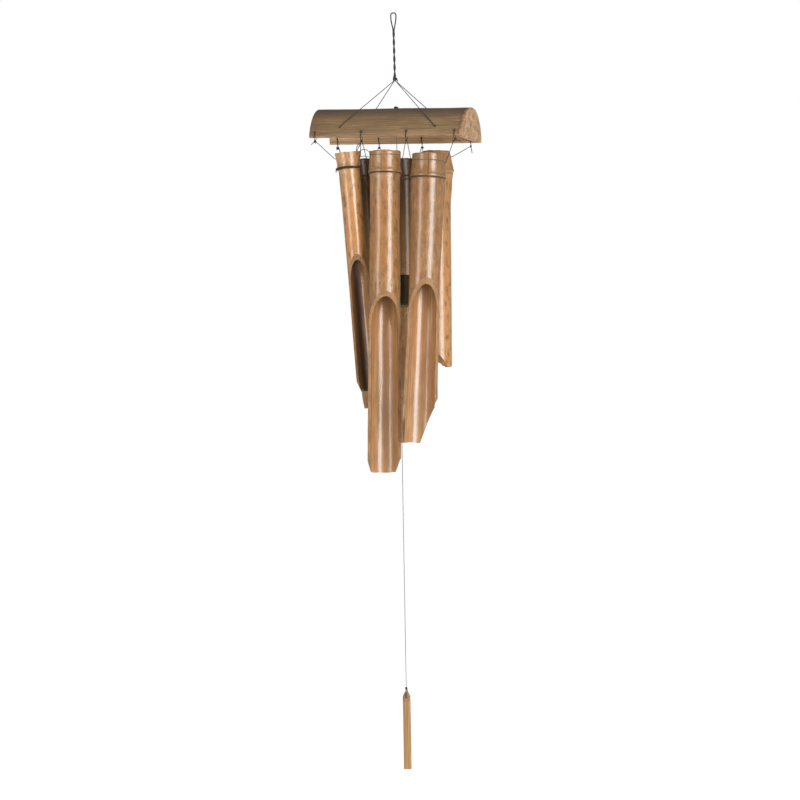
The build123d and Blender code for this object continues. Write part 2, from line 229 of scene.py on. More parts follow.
class Finish:
    def __init__(self, name):
        self.material = bpy.data.materials.new(name)
        self.material.use_nodes = True
        self.nodes = self.material.node_tree.nodes
        self.nodes.clear()
        self.place = self.add("ShaderNodeTexCoord", out="Object")

    def add(self, kind, settings=None, sockets=None, out=0):
        node = self.nodes.new(kind)
        for key, value in (settings or {}).items():
            if key == "stops":
                stops = node.color_ramp.elements
                stops.remove(stops[1])
                stops[0].position, stops[0].color = value[0][0], (*value[0][1], 1)
                for place, colour in value[1:]:
                    stops.new(place).color = (*colour, 1)
            else:
                setattr(node, key, value)
        for key, value in (sockets or {}).items():
            if isinstance(value, Wire):
                self.material.node_tree.links.new(value.socket, node.inputs[key])
            else:
                node.inputs[key].default_value = value
        return Wire(self, node.outputs[out]) if node.outputs else None

    def axis(self, name):
        return self.add("ShaderNodeSeparateXYZ", sockets={0: self.place}, out=name)

    def grain(self, across, along, detail=4.0, rough=0.55, lengthwise="Z", shift=0.0):
        # noise stretched along one axis, the two counts are per metre
        scale = [along if axis == lengthwise else across for axis in "XYZ"]
        stretch = {"Vector": self.place, "Scale": scale, "Location": (shift, 0, 0)}
        spread = self.add("ShaderNodeMapping", sockets=stretch)
        look = {"Vector": spread, "Scale": 1.0, "Detail": detail, "Roughness": rough}
        return self.add("ShaderNodeTexNoise", sockets=look)

    def spots(self, count, size):
        # round dots, size is their share of the spacing
        look = {"Vector": self.place, "Scale": count, "Randomness": 1.0}
        return self.add("ShaderNodeTexVoronoi", sockets=look).ease(size, size * 0.5)

    def mix(self, first, second, share):
        sockets = {0: share, 6: opaque(first), 7: opaque(second)}
        return self.add("ShaderNodeMix", {"data_type": "RGBA"}, sockets, out=2)

    def ramp(self, value, stops):
        return self.add("ShaderNodeValToRGB", {"stops": stops}, {0: value})

    def bump(self, height, strength, distance, under=None):
        sockets = {"Height": height, "Strength": strength, "Distance": distance}
        if under:
            sockets["Normal"] = under
        return self.add("ShaderNodeBump", sockets=sockets)

    def close(self, **sockets):
        named = {name.replace("_", " "): value for name, value in sockets.items()}
        skin = self.add("ShaderNodeBsdfPrincipled", sockets=named)
        self.add("ShaderNodeOutputMaterial", sockets={"Surface": skin})
        return self.material


def opaque(colour):
    return colour if isinstance(colour, Wire) else (*colour, 1)


def tint(red, green, blue):
    # a paint chart's 0 to 255 colour as the shader wants it
    shares = [level / 255 for level in (red, green, blue)]
    return tuple(v / 12.92 if v < 0.04 else ((v + 0.055) / 1.055) ** 2.4 for v in shares)


# darkMarkAndShade colours the node rings, the septum line, splits, specks and the darker band down tube 1's
# bore, and is also the painted shade in the throat above each mouth; grey is the painted shade on the tubes'
# tops
cane = dict(
    light=tint(164, 122, 80), middle=tint(134, 97, 60), dark=tint(98, 68, 38), olive=tint(112, 88, 52),
    orange=tint(154, 100, 50), darkMarkAndShade=tint(44, 28, 17), grey=tint(56, 36, 18), pale=tint(204, 148, 88),
    inside=tint(180, 140, 98), insideMiddle=tint(150, 111, 72), cut=tint(146, 108, 70),
    cutDark=tint(108, 76, 46), fleck=tint(86, 50, 22),
)


def caneSkin(name, spec, warmth, paintedShade, pale):
    # varnished outer skin: soft streaks and mottles, olive patches, fly specks, a darker node, and painted
    # shade on the top of the back tubes that hang in the bar's shadow
    f = Finish(name)
    broad = f.grain(30, 7, 3.0, 0.55, shift=paintedShade * 7)
    streak = f.grain(230, 6, 5.0, 0.6, shift=warmth * 9)
    mottle = f.grain(150, 62, 6.0, 0.72, shift=warmth * 5)
    fibre = f.grain(1500, 30, 3.0, 0.6)
    peel = f.grain(640, 430, 3.0, 0.6)
    colour = f.ramp(
        streak * 0.16 + mottle * 0.54 + peel * 0.14 + broad * 0.16,
        [(0.38, cane["dark"]), (0.49, cane["middle"]), (0.6, cane["light"])],
    )
    colour = f.mix(colour, cane["olive"], broad.ease(0.5, 0.66) * 0.6)
    colour = f.mix(colour, cane["orange"], broad.ease(0.52, 0.36) * warmth)
    colour = f.mix(colour, cane["pale"], mottle.ease(0.36, 0.52) * pale)
    colour = f.mix(colour, cane["dark"], fibre.ease(0.54, 0.72) * 0.18)
    depth = f.axis("Z") * -1000.0
    nodeBand = (depth - spec["node"] - 3.0).size().ease(8.0, 1.0)
    colour = f.mix(colour, cane["darkMarkAndShade"], nodeBand * mottle.ease(0.35, 0.6) * 0.3)
    # painted shade: the tube's top is darkened towards grey-brown, by its paintedShade share, standing in for
    # the bar's shadow on the back tubes; those tubes get less specular too
    topShade = (depth + broad * 90.0).ease(300.0, 70.0)
    colour = f.mix(colour, cane["grey"], topShade * paintedShade * (mottle.ease(0.3, 0.5) * 0.5 + 0.5))
    freckles = peel.ease(0.58, 0.66) * mottle.ease(0.46, 0.58)
    colour = f.mix(colour, cane["fleck"], freckles * 0.38)
    specks = f.spots(95, 0.17) * broad.ease(0.42, 0.56)
    dashes = f.grain(420, 120, 2.0, 0.5, shift=3.0).ease(0.72, 0.78)
    colour = f.mix(colour, cane["fleck"], specks * 0.85)
    colour = f.mix(colour, cane["fleck"], dashes * 0.7)
    if spec["septum"]:
        line = (depth - spec["septum"]).size().ease(0.9, 0.2)
        colour = f.mix(colour, cane["darkMarkAndShade"], line * 0.6)
    if spec["crack"]:
        # a split down the rim, at its bearing from the front
        bearing, lowEnd = spec["crack"]
        around = f.axis("X").bearing(f.axis("Y") * -1.0)
        split = (around - radians(bearing) + fibre * 0.01).size().ease(0.02, 0.008)
        colour = f.mix(colour, cane["darkMarkAndShade"], split * depth.ease(lowEnd + 1, lowEnd - 1) * 0.85)
    rough = 0.1 + mottle * 0.16 + peel * 0.1
    bumps = f.bump(fibre * 0.5 + peel, 0.5, 0.00032)
    bumps = f.bump(f.grain(60, 18, 2.0, 0.5, shift=1.7), 0.3, 0.0012, bumps)
    return f.close(
        Base_Color=colour, Roughness=rough, Specular_IOR_Level=0.72 - 0.56 * paintedShade, Coat_Weight=0.15,
        Coat_Roughness=0.12, Normal=bumps,
    )


def caneInside(name, spec, paintedShade, darkSide):
    # the bore's wall, varnished too: long fibre lines, painted shade in the throat above the mouth, and on
    # one tube a darker band down one side
    f = Finish(name)
    streak = f.grain(300, 3.2, 4.0, 0.62, shift=5.0 + paintedShade)
    fibre = f.grain(1700, 14, 2.0, 0.6)
    broad = f.grain(26, 7, 3.0, 0.55, shift=paintedShade * 5)
    mottle = f.grain(110, 30, 4.0, 0.6, shift=2.0)
    colour = f.ramp(
        streak * 0.55 + mottle * 0.25 + broad * 0.2,
        [(0.34, cane["middle"]), (0.49, cane["insideMiddle"]), (0.62, cane["inside"])],
    )
    colour = f.mix(colour, cane["orange"], broad.ease(0.45, 0.6) * 0.45)
    colour = f.mix(colour, cane["dark"], fibre.ease(0.52, 0.72) * 0.35)
    specks = f.spots(70, 0.12) * broad.ease(0.5, 0.62)
    colour = f.mix(colour, cane["darkMarkAndShade"], specks * 0.6)
    depth = f.axis("Z") * -1000.0
    # painted shade: the bore goes dark above the mouth's top, where the closed wall shades it
    throatShade = (depth + mottle * 16.0 - spec["mouth"]).ease(26.0, -6.0)
    colour = f.mix(colour, cane["darkMarkAndShade"], throatShade * 0.8)
    # a darker band down one side of the bore, at its bearing from the front, this wide in degrees and this
    # strong
    if darkSide:
        around = f.axis("X").bearing(f.axis("Y"))
        away = (around - radians(darkSide["bearing"]) + mottle * 0.35 - 0.17).size()
        colour = f.mix(colour, cane["darkMarkAndShade"], away.ease(radians(darkSide["width"]), 0.12) * darkSide["depth"])
    bumps = f.bump(fibre + mottle, 0.35, 0.0003)
    bumps = f.bump(f.grain(60, 10, 2.0, 0.5, shift=4.0), 0.25, 0.0012, bumps)
    return f.close(
        Base_Color=colour, Roughness=0.14 + streak * 0.2, Specular_IOR_Level=0.7, Coat_Weight=0.2,
        Coat_Roughness=0.12, Normal=bumps,
    )


def caneCut(name, lengthwise="Z"):
    # knife-cut and sawn edges: pale fibre ends under the same varnish
    f = Finish(name)
    streak = f.grain(620, 60, 3.0, 0.6, lengthwise)
    pores = f.spots(800, 0.26)
    cloud = f.grain(90, 40, 3.0, 0.6, lengthwise)
    colour = f.mix(cane["cutDark"], cane["cut"], (streak * 0.6 + cloud * 0.4).ease(0.36, 0.62))
    colour = f.mix(colour, cane["dark"], pores * 0.14)
    bumps = f.bump(streak + pores * -0.3, 0.3, 0.0003)
    return f.close(Base_Color=colour, Roughness=0.42 + streak * 0.15, Specular_IOR_Level=0.4, Normal=bumps)


barTints = dict(
    dark=tint(82, 62, 40), middle=tint(118, 92, 60), light=tint(140, 112, 76), fibre=tint(60, 44, 28),
    crown=tint(62, 50, 34), leftEnd=tint(64, 46, 30), scuff=tint(150, 130, 112), crack=tint(40, 27, 17),
    chip=tint(150, 116, 80), chipEdge=tint(62, 42, 26), insideDark=tint(124, 98, 68),
    insideMiddle=tint(162, 132, 96), insideLight=tint(190, 160, 120), insideCloud=tint(112, 76, 50),
    pithDark=tint(122, 90, 60), pith=tint(162, 128, 92), pithLight=tint(188, 158, 124),
    vessel=tint(50, 34, 20), sawLine=tint(112, 84, 58),
)


def barSkin():
    # weathered and hardly varnished: a grey-brown back, fine lengthwise grain, scuffs
    f = Finish("barSkin")
    streak = f.grain(520, 16, 6.0, 0.66, "X")
    fibre = f.grain(2100, 45, 3.0, 0.6, "X")
    broad = f.grain(34, 12, 4.0, 0.6, "X", shift=2.0)
    colour = f.ramp(
        streak * 0.6 + broad * 0.4,
        [(0.36, barTints["dark"]), (0.5, barTints["middle"]), (0.64, barTints["light"])],
    )
    colour = f.mix(colour, barTints["fibre"], fibre.ease(0.5, 0.68) * 0.5)
    height = f.axis("Z") * 1000.0
    colour = f.mix(colour, barTints["crown"], (height + broad * 16.0).ease(36.0, 58.0) * 0.7)
    along = f.axis("X") * 1000.0
    colour = f.mix(colour, barTints["leftEnd"], (along + broad * 60.0).ease(-50.0, -120.0) * 0.5)
    scuff = f.grain(120, 50, 4.0, 0.7, "X", shift=8.0).ease(0.64, 0.74)
    colour = f.mix(colour, barTints["scuff"], scuff * 0.35)
    # the skin is chipped back to the pale wood near the sawn end
    ragged = along + f.grain(160, 90, 4.0, 0.7, "X", shift=4.0) * 18.0
    colour = f.mix(colour, barTints["chipEdge"], ragged.ease(125.0, 129.0) * 0.45)
    colour = f.mix(colour, barTints["chip"], ragged.ease(129.0, 131.5) * 0.9)
    cracks = f.grain(700, 6, 2.0, 0.5, "X", shift=6.0).ease(0.68, 0.72)
    colour = f.mix(colour, barTints["crack"], cracks * 0.7)
    bumps = f.bump(fibre + streak + cracks * -1.5, 0.4, 0.0004)
    return f.close(
        Base_Color=colour, Roughness=0.5 + streak * 0.2, Coat_Weight=0.12, Coat_Roughness=0.3, Normal=bumps
    )


def barInside():
    f = Finish("barInside")
    streak = f.grain(380, 7, 5.0, 0.6, "X")
    fibre = f.grain(1500, 24, 3.0, 0.6, "X")
    cloud = f.grain(60, 22, 4.0, 0.6, "X", shift=5.0)
    colour = f.ramp(
        streak,
        [(0.3, barTints["insideDark"]), (0.5, barTints["insideMiddle"]), (0.7, barTints["insideLight"])],
    )
    colour = f.mix(colour, barTints["insideCloud"], cloud.ease(0.58, 0.7) * 0.5)
    bumps = f.bump(fibre + streak, 0.4, 0.0004)
    return f.close(Base_Color=colour, Roughness=0.62 + streak * 0.15, Normal=bumps)


def barEnd():
    # the sawn node: pale pith with dark vessel ends and saw lines
    f = Finish("barEnd")
    cloud = f.grain(90, 90, 5.0, 0.65)
    dots = f.spots(520, 0.42) * cloud.ease(0.3, 0.46)
    saw = f.grain(120, 1600, 3.0, 0.6, "Z")
    colour = f.ramp(
        cloud, [(0.34, barTints["pithDark"]), (0.5, barTints["pith"]), (0.68, barTints["pithLight"])]
    )
    colour = f.mix(colour, barTints["vessel"], dots * 0.95)
    colour = f.mix(colour, barTints["sawLine"], saw.ease(0.55, 0.7) * 0.35)
    bumps = f.bump(saw + dots * -1.2 + cloud, 0.5, 0.0005)
    return f.close(Base_Color=colour, Roughness=0.72, Normal=bumps)


clapperTints = dict(
    dark=tint(40, 27, 13), middle=tint(66, 48, 24), light=tint(96, 72, 40), ring=tint(30, 20, 12),
    lowerRim=tint(120, 92, 66),
)


def clapperWood():
    f = Finish("clapperWood")
    streak = f.grain(260, 22, 5.0, 0.6)
    rings = f.grain(520, 520, 3.0, 0.6, shift=3.0)
    colour = f.ramp(
        streak, [(0.3, clapperTints["dark"]), (0.5, clapperTints["middle"]), (0.7, clapperTints["light"])]
    )
    colour = f.mix(colour, clapperTints["ring"], rings.ease(0.55, 0.7) * 0.4)
    # the lower rim shows a little lighter
    low = (f.axis("Z") * 1000.0 + rings * 4.0).ease(-42.0, -47.0)
    colour = f.mix(colour, clapperTints["lowerRim"], low * 0.45)
    bumps = f.bump(streak + rings, 0.3, 0.0004)
    return f.close(Base_Color=colour, Roughness=0.5 + streak * 0.2, Specular_IOR_Level=0.22, Normal=bumps)


catcherTints = dict(
    dark=tint(116, 78, 38), middle=tint(150, 110, 62), light=tint(172, 136, 86), top=tint(96, 62, 32),
)


def catcherCane():
    f = Finish("catcherCane")
    streak = f.grain(700, 12, 4.0, 0.6)
    colour = f.ramp(
        streak, [(0.28, catcherTints["dark"]), (0.5, catcherTints["middle"]), (0.72, catcherTints["light"])]
    )
    top = (f.axis("Z") * 1000.0 + streak * 8.0).ease(-14.0, -6.0)
    colour = f.mix(colour, catcherTints["top"], top * 0.55)
    bumps = f.bump(streak, 0.3, 0.0003)
    return f.close(
        Base_Color=colour, Roughness=0.38 + streak * 0.2, Coat_Weight=0.35, Coat_Roughness=0.2, Normal=bumps
    )


def twine(name, dark, light):
    # waxed thread: fine fibres that catch the light
    f = Finish(name)
    hairs = f.grain(2600, 1300, 3.0, 0.6)
    colour = f.mix(dark, light, hairs.ease(0.4, 0.7))
    return f.close(Base_Color=colour, Roughness=0.62 + hairs * 0.2, Normal=f.bump(hairs, 0.5, 0.0004))


darkTwine = twine("darkTwine", tint(24, 20, 18), tint(70, 60, 52))
wrapTwine = twine("wrapTwine", tint(28, 19, 13), tint(70, 48, 32))
greyTwine = twine("greyTwine", tint(92, 86, 80), tint(150, 144, 138))
print("finishes made")

# cords


def curvePiece(name, runs, size, body, finish, node, facets=3):
    # one curve object with a NURBS spline for each run, in millimetres
    data = bpy.data.curves.new(name, "CURVE")
    data.dimensions = "3D"
    data.bevel_depth = size / 2 * mm
    data.bevel_resolution = facets
    data.resolution_u = 10
    data.use_fill_caps = True
    for points, closed in runs:
        spline = data.splines.new("NURBS")
        spline.points.add(len(points) - 1)
        for point, place in zip(spline.points, points):
            point.co = (*(Vector(place) * mm), 1)
        spline.use_cyclic_u = closed
        spline.order_u = 3
        spline.use_endpoint_u = not closed
    piece = bpy.data.objects.new(name, data)
    scene.collection.objects.link(piece)
    data.materials.append(finish)
    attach(piece, body)
    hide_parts(node)
    return piece


def knotRun(centre, size, turn=0.0, lean=0.0):
    # the closed course of an overhand knot, pulled to about this radius
    place = Matrix.Translation(centre) @ Matrix.Rotation(turn, 4, "Z")
    place = place @ Matrix.Rotation(pi / 2 + lean, 4, "X")
    course = []
    for step in range(24):
        angle = 2 * pi * step / 24
        reach = size * (2 + cos(3 * angle)) / 3
        spot = Vector((reach * cos(2 * angle), reach * sin(2 * angle), size * 0.42 * sin(3 * angle)))
        course.append(place @ spot)
    return (course, True)


hanger = dict(
    knot=Vector((0.8, 0, -102.0)), knotRadius=3.4, loopSize=2.0,
    hook=3.4,    # the radius that the eye leaves for the hook
    lay=1.25,    # from the doubled cord's middle to each strand's
    pitch=6.6,   # the height of a quarter turn of the two strands
)


def makeHanger():
    knot = hanger["knot"]
    size, lay = hanger["loopSize"], hanger["lay"]
    side = hanger["hook"] + size / 2
    footHeight = knot.z + hanger["knotRadius"] - 0.6
    # two strands laid round each other from the knot up, then open into the eye that the hook takes
    up, down = [], []
    for step in range(12):
        turn, height = step * pi / 2, footHeight + step * hanger["pitch"]
        share = step / 11
        spot = Vector((knot.x * (1 - share) + lay * cos(turn), lay * sin(turn), height))
        up.append(spot)
        down.append(Vector((2 * knot.x * (1 - share) - spot.x, -spot.y, height)))
    eye = [(-side * 0.8, 0.3, -14.0), (-side, 0, -5.0), (-side * 0.9, 0, size / 2)]
    eye += [(side * 0.9, 0, size / 2), (side, 0, -5.0), (side * 0.8, -0.3, -14.0)]
    route = up + eye + down[::-1]
    curvePiece("hangerLoop", [(route, False)], size, "bar", darkTwine, "hanger_loop", 4)
    courses = [
        knotRun(knot + Vector((0, 0, -1.0)), 3.3, 0.4, 0.3),
        knotRun(knot + Vector((0, 0, 1.2)), 2.7, 1.7, -0.5),
        ([knot + Vector(reach) for reach in ((1.5, -1, -1), (4.2, -2.2, -2.4), (5.6, -2.4, -5.5))], False),
    ]
    curvePiece("hangerKnot", courses, 1.7, "bar", darkTwine, "hanger_knot")
    lineRadius = bar["radius"] + cordSize / 2 + 0.4
    over = fromBar(knot)
    stops = []
    for row, rowName in bothRows:
        for holeX, endName in zip(bar["hangerHoles"], ("left", "right")):
            # from the knot straight to the bar's back, then round it to the hole
            topHeight = over.z - 4.6 + bar["drop"]
            touch = acos(lineRadius / topHeight)
            hole = acos((bar["hangerHoleHeight"] + bar["drop"]) / lineRadius)
            straight = sqrt(topHeight**2 - lineRadius**2)
            bent = lineRadius * tan((hole - touch) / 2)
            startX = over.x + (1.6 if holeX > 0 else -1.6)
            slope = (holeX - startX) / (straight + 2 * bent)
            cornerRadius = lineRadius / cos((hole - touch) / 2)
            middle = (touch + hole) / 2
            knee = onBar(
                startX + slope * (straight + bent),
                row * cornerRadius * sin(middle),
                cornerRadius * cos(middle) - bar["drop"],
            )
            start = onBar(startX, row * 0.9, topHeight - bar["drop"])
            mouth = onBar(holeX, row * lineRadius * sin(hole), bar["hangerHoleHeight"])
            nearKnee = knee + (start - knee).normalized() * (mouth - knee).length
            inside = onBar(holeX, row * (bar["knotRow"] - bar["wall"] - 3.0), bar["hangerHoleHeight"])
            route = [start, nearKnee, knee, knee.lerp(mouth, 0.8), mouth, inside]
            name = f"hangerLine{rowName.title()}{endName.title()}"
            node = f"hanger_line_{rowName}_{endName}"
            curvePiece(name, [(route, False)], cordSize, "bar", darkTwine, node)
            stops.append(onBar(holeX, row * (bar["knotRow"] - bar["wall"] - 5.0), bar["hangerHoleHeight"]))
    courses = [knotRun(stop, 1.7, number * 0.9) for number, stop in enumerate(stops)]
    curvePiece("hangerStopKnots", courses, 1.2, "bar", darkTwine, "hanger_stop_knots")


# what hangs loose from each tie's knot, across and down, and how big the knot is
tieKnots = dict(
    front=[
        dict(size=1.9, tails=[(-6.0, -4.8), (1.6, -4.2)]),
        dict(size=1.8, tails=[(-3.0, -9.0)]),
        dict(size=1.6, tails=[]),
        dict(size=2.3, tails=[(11.0, -3.2), (-3.2, -3.0), (5.0, 2.4)]),
    ],
    back=[
        dict(size=2.4, tails=[(3.4, -5.0), (-3.0, -2.6)]),
        dict(size=1.8, tails=[]),
        dict(size=1.8, tails=[(2.6, -1.6)]),
        dict(size=1.9, tails=[(1.6, -10.5)]),
    ],
)


def makeTies():
    outerHole = sqrt(bar["radius"] ** 2 - (bar["tieHoleHeight"] + bar["drop"]) ** 2)
    innerHole = sqrt((bar["radius"] - bar["wall"]) ** 2 - (bar["tieHoleHeight"] + bar["drop"]) ** 2)
    for row, rowName in bothRows:
        for number, x in enumerate(bar[f"{rowName}Ties"]):
            look = tieKnots[rowName][number]
            knot = knots[row, number]
            route = [
                onBar(x - 0.5, row * (bar["knotRow"] + 1.0), -bar["knotDrop"] + 1.0),
                onBar(x - 0.8, row * (bar["radius"] + 0.75), 0.6),
                onBar(x, row * (outerHole + 1.2), bar["tieHoleHeight"]),
                onBar(x, row * (innerHole - 1.2), bar["tieHoleHeight"]),
                onBar(x + 0.8, row * (bar["radius"] - bar["wall"] - 1.1), 0.0),
                onBar(x + 0.5, row * (bar["knotRow"] - 1.0), -bar["knotDrop"] + 1.0),
            ]
            # a small knot with two frayed ends sits in the hole's mouth
            mouthKnot = onBar(x, row * (outerHole + 1.0), bar["tieHoleHeight"] - 0.4)
            courses = [
                (route, False),
                knotRun(knot, look["size"], 0.7 * number, 0.35),
                knotRun(mouthKnot, 1.25, number, 1.3),
            ]
            for across, lift in ((1.9, 2.4), (-1.6, 1.5)):
                fray = mouthKnot + Vector((across, row * 0.9, lift * (0.6 + 0.3 * number)))
                middle = mouthKnot.lerp(fray, 0.5) + Vector((0, row * 0.6, 0))
                courses.append(([mouthKnot, middle, fray], False))
            for across, down in look["tails"]:
                end = knot + Vector((across, row * 1.2, down))
                courses.append(([knot, knot.lerp(end, 0.5) + Vector((0, row * 1.0, 1.0)), end], False))
            name, node = f"tie{rowName.title()}{number + 1}", f"tie_{rowName}_{number + 1}"
            curvePiece(name, courses, cordSize, "bar", darkTwine, node)


# loose ends at tube 1's right side: an arch over to tube 3, a wavy end under it, doubled strands
strays = [
    [(-47.3, -54, -228.8), (-45.3, -54, -224.4), (-40.6, -55, -219.4),
     (-34.0, -55, -217.5), (-28.5, -54, -219.5), (-25.3, -52, -223.5)],
    [(-47.6, -52, -228.4), (-43.9, -51, -227.2), (-40.2, -50, -228.6),
     (-36.4, -50, -227.0), (-32.8, -50, -229.2), (-28.6, -50, -228.9)],
    [(-39.6, -52.5, -207.0), (-43.9, -53, -212.8), (-46.4, -53, -219.8), (-47.9, -53, -226.8)],
    [(-40.4, -51, -206.5), (-46.4, -51, -209.9), (-47.6, -51, -214.0), (-48.4, -51, -219.5)],
    [(-47.6, -53, -228.4), (-49.4, -56, -229.6), (-50.2, -57, -232.2), (-48.6, -58, -233.6)],
]


def makeSlings():
    # two strands on each tube, each through its side hole to a stop knot inside
    for number, (name, spec) in enumerate(tubes.items(), start=1):
        atHole = radiusAt(spec, spec["hole"])
        for side, sideName, tie in ((-1, "left", 0), (1, "right", 1)):
            knot = knots[spec["row"], spec["ties"][tie]]
            mouth = spec["stand"] @ Vector((side * (atHole + 1.6), 0, -spec["hole"]))
            inside = spec["stand"] @ Vector((side * (cupRadius(spec) - 2.3), 0, -spec["hole"]))
            start = knot - Vector((side * 1.1, 0, 0))
            start = start + (mouth - start).normalized() * 1.4
            route = [spec["hang"] @ point for point in (start, start.lerp(mouth, 0.82), mouth, inside)]
            courses = [(route, False), knotRun(spec["hang"] @ inside, 1.25, 0.6 * number)]
            if (number, side) == (1, 1):
                courses += [(points, False) for points in strays]
                courses.append(knotRun(Vector((-48.6, -55, -229.5)), 1.9, 1.0, 0.6))
            piece, node = f"sling{number}{sideName.title()}", f"sling_{number}_{sideName}"
            curvePiece(piece, courses, cordSize * 0.9, name, darkTwine, node)


def makePendulumCords():
    x = pendulum["x"]
    ridge = Vector((x, 0, bar["edgeHeight"] + bar["radius"] - bar["drop"] + pendulum["ridgeKnot"] + 0.4))
    lower = Vector((x, 0, pendulum["clapperTop"] - pendulum["clapperHeight"] - pendulum["lowerKnot"] - 0.5))
    catcherKnot = lower - Vector((0, 0, pendulum["tail"]))
    hole = catcherKnot - Vector((0, 0, pendulum["holeDrop"] + 6.0))
    gap = 0.4
    top = ridge - Vector((0, 0, pendulum["ridgeKnot"] + gap))
    end = lower + Vector((0, 0, pendulum["lowerKnot"] + gap))
    size = pendulum["size"]
    run = [([top, end], False)]
    string = curvePiece("clapperString", run, size, "clapper", greyTwine, "clapper_string")
    courses = [
        knotRun(ridge + Vector((-0.9, 0, -1.7)), 2.4, 0.5, 1.2),
        knotRun(ridge + Vector((1.2, 0, -2.2)), 2.1, 2.2, 1.5),
    ]
    curvePiece("ridgeKnot", courses, 1.4, "ridge_knot", darkTwine, "ridge_knot")
    courses = [knotRun(lower, 1.9, 0.5, 0.9), knotRun(lower + Vector((0, 0, 0.7)), 1.8, 1.9, 1.3)]
    curvePiece("clapperKnot", courses, 1.3, "clapper_knot", greyTwine, "clapper_knot")
    start = lower - Vector((0, 0, pendulum["lowerKnot"] + gap))
    run = [([start, catcherKnot], False)]
    tail = curvePiece("tailString", run, size, "tail", greyTwine, "tail_string")
    reach = pendulum["catcherThickness"] / 2 + 1.2
    catcherTop = hole.z + pendulum["holeDrop"]
    route = [
        catcherKnot + Vector((0, -1.6, -1.8)),
        Vector((x, -reach, catcherTop + 1.8)),
        hole + Vector((0, -reach, 0)),
        hole + Vector((0, reach, 0)),
        Vector((x, reach, catcherTop + 1.8)),
        catcherKnot + Vector((0, 1.6, -1.8)),
    ]
    courses = [
        (route, False),
        knotRun(catcherKnot + Vector((0, 0, -0.3)), 1.7, 0.4, 0.5),
        ([catcherKnot + Vector(reach) for reach in ((0, 0, 0), (2.0, -1.0, -2.0), (2.6, -2.0, -6.0))], False),
    ]
    tie = curvePiece("catcherTie", courses, size, "tail", darkTwine, "catcher_tie")
    pendulum["catcherTop"] = catcherTop


makeHanger()
makeTies()
makeSlings()
makePendulumCords()
print("cords and knots made")

# meshes


hardEdge = 35.0  # degrees between two faces, from which their edge stays sharp


def meshPiece(name, bm, place, finishes, body, node, holes=()):
    # closes a mesh: welds it, marks its hard edges, drills it and sets it on its body
    bmesh.ops.remove_doubles(bm, verts=bm.verts, dist=1e-6)
    bmesh.ops.recalc_face_normals(bm, faces=bm.faces)
    for face in bm.faces:
        face.smooth = True
    for edge in bm.edges:
        edge.smooth = not (len(edge.link_faces) == 2 and edge.calc_face_angle(0) > radians(hardEdge))
    mesh = bpy.data.meshes.new(name)
    bm.to_mesh(mesh)
    bm.free()
    piece = bpy.data.objects.new(name, mesh)
    scene.collection.objects.link(piece)
    for finish in finishes:
        mesh.materials.append(finish)
    if holes:
        drill(piece, holes)
    piece.matrix_world = place
    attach(piece, body)
    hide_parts(node)


def drill(piece, holes):
    # holes are (centre, direction, radius, length) in the piece's own frame, in metres
    bit = bmesh.new()
    for centre, direction, radius, length in holes:
        turn = Vector(direction).to_track_quat("Z", "Y").to_matrix().to_4x4()
        bmesh.ops.create_cone(bit, cap_ends=True, segments=14, radius1=radius, radius2=radius, depth=length,
                              matrix=Matrix.Translation(centre) @ turn)
    bitMesh = bpy.data.meshes.new("drillBit")
    bit.to_mesh(bitMesh)
    bit.free()
    tool = bpy.data.objects.new("drillBit", bitMesh)
    scene.collection.objects.link(tool)
    for finish in piece.data.materials:
        bitMesh.materials.append(finish)
    for face in bitMesh.polygons:
        face.material_index = len(piece.data.materials) - 1
    cutter = piece.modifiers.new("drill", "BOOLEAN")
    cutter.object = tool
    cutter.solver = "EXACT"
    bpy.context.view_layer.update()
    cleared = bpy.data.meshes.new_from_object(piece.evaluated_get(bpy.context.evaluated_depsgraph_get()))
    piece.modifiers.clear()
    cleared.name = piece.name
    piece.data = cleared
    bpy.data.objects.remove(tool)
    bpy.data.meshes.remove(bitMesh)


def metrePlace(place):
    moved = place.copy()
    moved.translation = place.translation * mm
    return moved


def bridge(bm, upper, lower, finish):
    # a strip of faces between two rows, a face whose corners meet is left out
    for a, b, c, d in zip(upper, upper[1:], lower[1:], lower):
        corners = []
        for vert in (a, b, c, d):
            if not any((vert.co - other.co).length < 1e-7 for other in corners):
                corners.append(vert)
        if len(corners) > 2:
            bm.faces.new(corners).material_index = finish


def scoopReach(spec, depth):
    # how far out the wall still stands on the mouth's side: a slope that starts 6 outside the widest
    # wall runs in to 0.5 from the middle, through an arc, and the cut goes straight down from there
    body = radiusAt(spec, spec["mouth"])
    wide = max(radius for d, radius in spec["outline"])
    slope = spec["scoop"] / body * (wide + 6.0) / (wide + 5.5)
    arc = 2.2 * body
    lean = atan2(1.0, slope)
    tangent = arc * tan(lean / 2)
    meet = spec["mouth"] + spec["scoop"]
    if depth < meet - tangent * cos(lean):
        return 0.5 + (meet - depth) / slope
    if depth < meet + tangent:
        return 0.5 + arc - sqrt(max(0.0, arc**2 - (meet + tangent - depth) ** 2))
    return 0.5


def mouthDepth(spec, reach):
    # how deep the cut starts on a wall that stands this far out
    low, high = 0.0, spec["length"]
    for step in range(40):
        middle = (low + high) / 2
        if scoopReach(spec, middle) > reach:
            low = middle
        else:
            high = middle
    return high


def bevelWidth(spec, side, depth):
    # how far out the foot's bevel leaves the wall on this side
    inset, height = spec["bevels"][0 if side > 0 else 1]
    return spec["footRadius"] - (depth - (spec["length"] - height)) * inset / height


